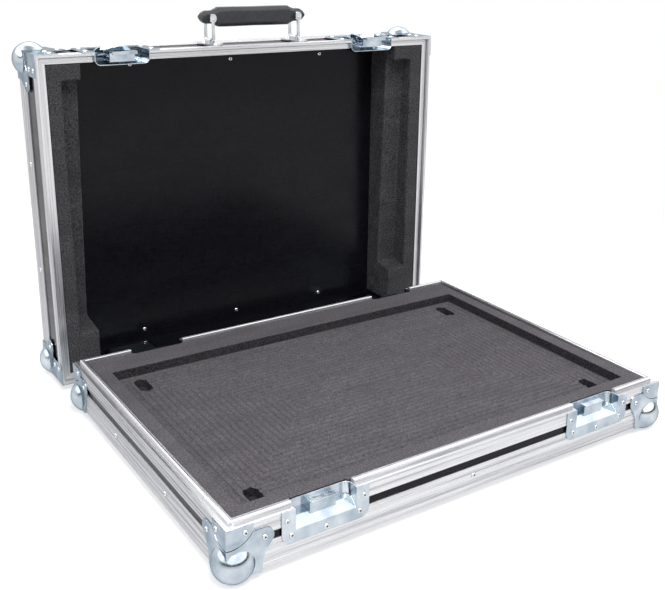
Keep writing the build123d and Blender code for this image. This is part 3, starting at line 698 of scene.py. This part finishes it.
def milledBlock(low, high):  # the foam with its pocket, before the slots and the room for the dishes are cut
    centre = (pocket[0] + pocket[1]) / 2
    halfWidth = (pocket[1].x - pocket[0].x) / 2 + pocketPlay
    halfDepth = (pocket[1].y - pocket[0].y) / 2 + pocketPlay
    foam = meshObject("milledTrayFoamBlock", bmesh.new())
    useTree(foam, ringTree(), {
        "Half Width": halfWidth,
        "Half Depth": halfDepth,
        "Centre": (centre.x, centre.y, pocketFloor),
        "Pitch": trayFoamSet["pitch"] * mm,
        "Ridge": milledRidge,
        "Steps": trayFoamSet["ringSteps"],
    })
    applyModifiers(foam)

    # Rings from the pocket's floor up its wall, over the top and down to the underside
    soft, steps = trayFoamSet["softEdge"] * mm, trayFoamSet["softSteps"]
    turns = [i * math.pi / 2 / steps for i in range(steps + 1)]
    outer = (high.x - low.x) / 2, (high.y - low.y) / 2
    middle = (low + high) / 2
    rings = [(halfWidth, halfDepth, centre, pocketFloor + milledRidge)]
    for turn in turns:
        grow, rise = soft * (1 - math.cos(turn)), soft * (math.sin(turn) - 1)
        rings.append((halfWidth + grow, halfDepth + grow, centre, high.z + rise))
    for turn in turns:
        grow, rise = soft * (math.sin(turn) - 1), soft * (math.cos(turn) - 1)
        rings.append((outer[0] + grow, outer[1] + grow, middle, high.z + rise))
    rings.append((*outer, middle, low.z))
    bm = bmesh.new()
    bm.from_mesh(foam.data)
    loops = []
    for halfX, halfY, at, z in rings:
        corners = ((-halfX, -halfY), (halfX, -halfY), (halfX, halfY), (-halfX, halfY))
        loops.append([bm.verts.new((at.x + x, at.y + y, z)) for x, y in corners])
    for inner, outside in zip(loops, loops[1:]):
        for i in range(4):
            bm.faces.new((inner[i], inner[i - 1], outside[i - 1], outside[i]))
    bm.faces.new(loops[-1])
    bmesh.ops.remove_doubles(bm, verts=bm.verts, dist=joinReach)
    bmesh.ops.recalc_face_normals(bm, faces=bm.faces)
    bm.to_mesh(foam.data)
    bm.free()
    return foam


def foamCutters(low, high):  # the foot slots and the room for the keeper dishes
    bm = bmesh.new()
    width, length, depth = (v * mm for v in trayFoamSet["slot"])
    half, chamfer = trayFoamSet["notch"][0] * mm / 2, trayFoamSet["notch"][1] * mm
    reach, notchFloor = trayFoamSet["notchReach"] * mm, high.z - trayFoamSet["notchDepth"] * mm
    for word in ("front_left", "front_right", "back_left", "back_right"):
        slot = sum(openings[f"{word}_foot_slot"], Vector()) / 2
        prismCutter(bm, stadium(slot, width, length), pocketFloor - depth, high.z + depth)
        keeper = sum(openings[f"{word}_keeper_recess"], Vector()) / 2
        isBack = keeper.y > (low.y + high.y) / 2
        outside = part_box("tray_back_edge")[1].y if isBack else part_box("tray_front_edge")[0].y
        outward = 1 if isBack else -1
        inside = outside - outward * reach
        shape = [(keeper.x - half, outside), (keeper.x + half, outside)]
        shape += [(keeper.x + half, inside + outward * chamfer), (keeper.x + half - chamfer, inside)]
        shape += [(keeper.x + chamfer - half, inside), (keeper.x - half, inside + outward * chamfer)]
        prismCutter(bm, shape, notchFloor, high.z + depth)
    bmesh.ops.recalc_face_normals(bm, faces=bm.faces)
    return meshObject("foamCutters", bm)


def makeTrayFoam():
    low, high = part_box("tray_foam")
    foam = milledBlock(low, high)
    cutter = foamCutters(low, high)
    cut = foam.modifiers.new("cut", "BOOLEAN")
    cut.object = cutter
    cut.solver = "EXACT"
    cut.use_self = False
    applyModifiers(foam)
    dropObject(cutter)
    foam.data.materials.clear()
    foam.data.materials.append(finish["trayFoam"])
    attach(foam, "tray")
    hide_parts("tray_foam")
    print("tray foam:", len(foam.data.polygons), "faces")


makeTrayFoam()


# Lid foams: the cut blocks with soft edges and a surface that is nowhere quite flat
lidFoamSet = {"voxel": 1.7, "pull": 0.5, "waves": 9.0, "depth": 0.3}  # mm, but pull is a share


def makeLidFoam(side):
    foam = nodes[f"lid_{side}_foam"].copy()
    foam.data = foam.data.copy()
    foam.name = f"{side}CutLidFoam"
    foam.parent = None
    for key in ("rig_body", "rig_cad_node"):  # the copy is a piece of its own, not a CAD node
        del foam[key]
    scene.collection.objects.link(foam)
    bm = bmesh.new()
    bm.from_mesh(foam.data)
    bmesh.ops.remove_doubles(bm, verts=bm.verts, dist=joinReach)
    bm.to_mesh(foam.data)
    bm.free()
    foam.modifiers.clear()
    remesh = foam.modifiers.new("even", "REMESH")
    remesh.mode = "VOXEL"
    remesh.voxel_size = lidFoamSet["voxel"] * mm
    smooth = foam.modifiers.new("soft", "SMOOTH")
    smooth.factor, smooth.iterations = lidFoamSet["pull"], 1
    texture = bpy.data.textures.new(f"{side}FoamWaves", "CLOUDS")
    texture.noise_scale = lidFoamSet["waves"] * mm
    wave = foam.modifiers.new("waves", "DISPLACE")
    wave.texture = texture
    wave.texture_coords = "LOCAL"
    wave.strength = lidFoamSet["depth"] * mm
    applyModifiers(foam)
    for face in foam.data.polygons:
        face.use_smooth = True
    foam.data.materials.clear()
    foam.data.materials.append(finish["lidFoam"])
    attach(foam, "lid")
    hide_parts(f"lid_{side}_foam")
    print(side, "lid foam:", len(foam.data.polygons), "faces")


for side in ("left", "right"):
    makeLidFoam(side)


# Grip: a moulded bar of rounded sections, with flat round-ended tongues at its ends
gripSet = {
    "sections": (  # mm along from the middle, half height, half thickness; the last one is the tongue
        (0.0, 13.2, 9.6),
        (31.075, 13.5, 9.8),
        (55.0, 13.5, 9.8),
        (56.5, 13.1, 9.6),
        (57.5, 12.3, 9.2),
        (64.5, 9.6, 7.8),
        (66.0, 9.0, 7.6),
    ),
    "endSteps": 8,  # sections of a tongue's round end
    "leastStep": 0.4,  # mm from one of them to the next
    "tip": 0.02,  # share of the tongue's height that is left at its tip
    "facet": 5.2,  # mm cut off each corner of a section
    "facetMost": 0.62,  # and the most of its half height or half thickness
    "blend": 0.28,  # share of a facet over which its edges are rounded
    "blendSteps": 4,
}


def gripSections(halfLength):  # from the middle to one end
    rows = list(gripSet["sections"])
    start, radius, thick = rows[-1]
    for i in range(gripSet["endSteps"] + 1):
        turn = i * math.pi / 2 / gripSet["endSteps"]
        along = max(halfLength - radius + radius * math.sin(turn), start + gripSet["leastStep"] * (i + 1))
        rows.append((along, radius * max(math.cos(turn), gripSet["tip"]), thick))
    return rows


def gripOutline(tall, thick):  # (y, z) round one section: an octagon whose corners are rounded
    cut = min(gripSet["facet"], gripSet["facetMost"] * tall, gripSet["facetMost"] * thick)
    reach = gripSet["blend"] * cut
    quarter = [(thick, tall - cut), (thick - cut, tall)]
    corners = quarter + [(-y, z) for y, z in reversed(quarter)]
    corners += [(-y, -z) for y, z in corners]
    steps = [i / gripSet["blendSteps"] for i in range(gripSet["blendSteps"] + 1)]
    outline = []
    for i, corner in enumerate(corners):
        ends = []
        for other in (corners[i - 1], corners[(i + 1) % len(corners)]):
            apart = math.dist(corner, other)
            ends.append([a + (b - a) * reach / apart for a, b in zip(corner, other)])
        for t in steps:
            near, mid, far = (1 - t) ** 2, 2 * t * (1 - t), t * t
            outline.append([near * a + mid * b + far * c for a, b, c in zip(ends[0], corner, ends[1])])
    return outline


def makeGrip():
    low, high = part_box("handle_grip")
    middle, halfLength = (low + high) / 2, (high.x - low.x) / 2 / mm
    half = gripSections(halfLength)
    rows = [(-along, tall, thick) for along, tall, thick in reversed(half[1:])] + half
    bm = bmesh.new()
    rings = []
    for along, tall, thick in rows:
        outline = gripOutline(tall, thick)
        rings.append([bm.verts.new(middle + Vector((along, y, z)) * mm) for y, z in outline])
    for first, second in zip(rings, rings[1:]):
        for i in range(len(first)):
            bm.faces.new((first[i - 1], first[i], second[i], second[i - 1]))
    bm.faces.new(rings[0])
    bm.faces.new(rings[-1])
    bmesh.ops.recalc_face_normals(bm, faces=bm.faces)
    for face in bm.faces:
        face.smooth = True
    grip = meshObject("mouldedGripBar", bm)
    grip.data.materials.append(finish["grip"])
    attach(grip, "grip")
    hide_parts("handle_grip")
    print("grip made")


makeGrip()


# Pale round floor, white surroundings and soft lamps
studio = {
    "floorRadius": 1.15,  # m
    "floorCentre": (0.0, 0.05, 0.0),
    "floorSides": 96,
    "floorColour": "#e4e4e6",
    "glow": 0.5,  # what the floor adds for the camera, which makes it white and keeps a faint shadow
    "metalGlow": 0.35,  # what it adds where metal mirrors it
    "sky": 0.46,  # light from all round
    # What metal mirrors on the camera's side: height, from straight down (0) over the horizon (0.5) to
    # straight up (1), and brightness there. On the far side it mirrors white.
    "levels": ((0.0, 0.8), (0.46, 1.05), (0.54, 0.95), (0.6, 0.05), (0.65, 0.05)),
    "sideBlend": 0.35,  # how far each side reaches into the other
    "ceiling": 1.85,  # what metal mirrors overhead
    "ceilingRise": (0.28, 0.36),  # upward part of the direction over which the ceiling begins
    "zenith": 0.42,  # share of the ceiling that is left straight overhead, or plates clip from above
    "zenithRise": (0.88, 0.97),
    "lamps": (  # place and size in m, power in W
        ("keyLamp", (-0.5, -1.7, 2.8), 1.3, 46.0),
        ("leftLamp", (-2.6, -0.2, 1.9), 1.4, 6.0),
        ("backLamp", (0.5, 1.7, 2.5), 2.2, 24.0),
    ),
}
white = (1.0, 1.0, 1.0, 1.0)


def makeFloor():
    bm = bmesh.new()
    bmesh.ops.create_circle(bm, cap_ends=True, segments=studio["floorSides"], radius=studio["floorRadius"])
    bmesh.ops.translate(bm, vec=studio["floorCentre"], verts=bm.verts)
    floor = meshObject("paleFloor", bm)
    # Matt pale paint, which adds a plain glow to what the camera and mirroring metal see of it
    uniform = {"Base Color": linear(studio["floorColour"]), "Roughness": 0.9, "Specular IOR Level": 0.1}
    material, tree, shader = startMaterial("paleFloorPaint", uniform)
    path = addNode(tree, "ShaderNodeLightPath").outputs
    straight = {0: path["Is Camera Ray"], 1: studio["glow"]}
    seen = addNode(tree, "ShaderNodeMath", straight, operation="MULTIPLY")
    mirrored = {0: path["Is Glossy Ray"], 1: studio["metalGlow"], 2: seen}
    strength = addNode(tree, "ShaderNodeMath", mirrored, operation="MULTIPLY_ADD")
    glow = addNode(tree, "ShaderNodeEmission", {"Color": white, "Strength": strength})
    both = addNode(tree, "ShaderNodeAddShader", {0: shader, 1: glow})
    tree.links.new(both.outputs[0], tree.nodes["Material Output"].inputs["Surface"])
    floor.data.materials.append(material)


def makeWorld():  # even light, with a studio that only metal mirrors and a white that only the camera sees
    world = bpy.data.worlds.new("whiteSurroundings")
    scene.world = world
    world.use_nodes = True
    tree = world.node_tree
    tree.nodes.clear()
    direction = addNode(tree, "ShaderNodeTexCoord").outputs["Generated"]
    parts = addNode(tree, "ShaderNodeSeparateXYZ", {"Vector": direction}).outputs
    height = addNode(tree, "ShaderNodeMapRange", {"Value": parts["Z"], "From Min": -1.0, "From Max": 1.0})
    rise = addNode(tree, "ShaderNodeValToRGB", {"Fac": height})
    ramp = rise.color_ramp
    ramp.interpolation = "EASE"
    for _ in studio["levels"][2:]:
        ramp.elements.new(0.5)
    for element, (at, level) in zip(ramp.elements, studio["levels"]):
        element.position = at
        element.color = (level, level, level, 1)
    blend = studio["sideBlend"]
    side = addNode(tree, "ShaderNodeMapRange", {"Value": parts["Y"], "From Min": -blend, "From Max": blend})
    around = addNode(tree, "ShaderNodeMapRange", {"Value": side, "To Min": rise, "To Max": 1.0})
    ceiling = (parts["Z"], *studio["ceilingRise"], 0, studio["ceiling"])
    overhead = overlap(tree, ceiling, (parts["Z"], *studio["zenithRise"], 1, studio["zenith"]))
    mirrored = addNode(tree, "ShaderNodeMath", {0: around, 1: overhead}, operation="MAXIMUM")
    even, studioLight, plain = [
        addNode(tree, "ShaderNodeBackground", {"Color": white, "Strength": strength})
        for strength in (studio["sky"], mirrored, 1.0)
    ]
    path = addNode(tree, "ShaderNodeLightPath").outputs
    lit = addNode(tree, "ShaderNodeMixShader", {0: path["Is Glossy Ray"], 1: even, 2: studioLight})
    straight = {0: path["Is Camera Ray"], 1: path["Is Transmission Ray"]}
    seen = addNode(tree, "ShaderNodeMath", straight, operation="MAXIMUM")
    surroundings = addNode(tree, "ShaderNodeMixShader", {0: seen, 1: lit, 2: plain})
    addNode(tree, "ShaderNodeOutputWorld", {"Surface": surroundings})


def makeLamps():
    centre = (cadBox[0] + cadBox[1]) / 2
    for name, place, size, power in studio["lamps"]:
        data = bpy.data.lights.new(name, "AREA")
        data.shape = "DISK"
        data.size = size
        data.energy = power
        lamp = bpy.data.objects.new(name, data)
        lamp.location = place
        lamp.rotation_euler = (centre - Vector(place)).to_track_quat("-Z", "Y").to_euler()
        scene.collection.objects.link(lamp)


makeFloor()
makeWorld()
makeLamps()
scene.view_settings.view_transform = "Standard"
print("studio set")
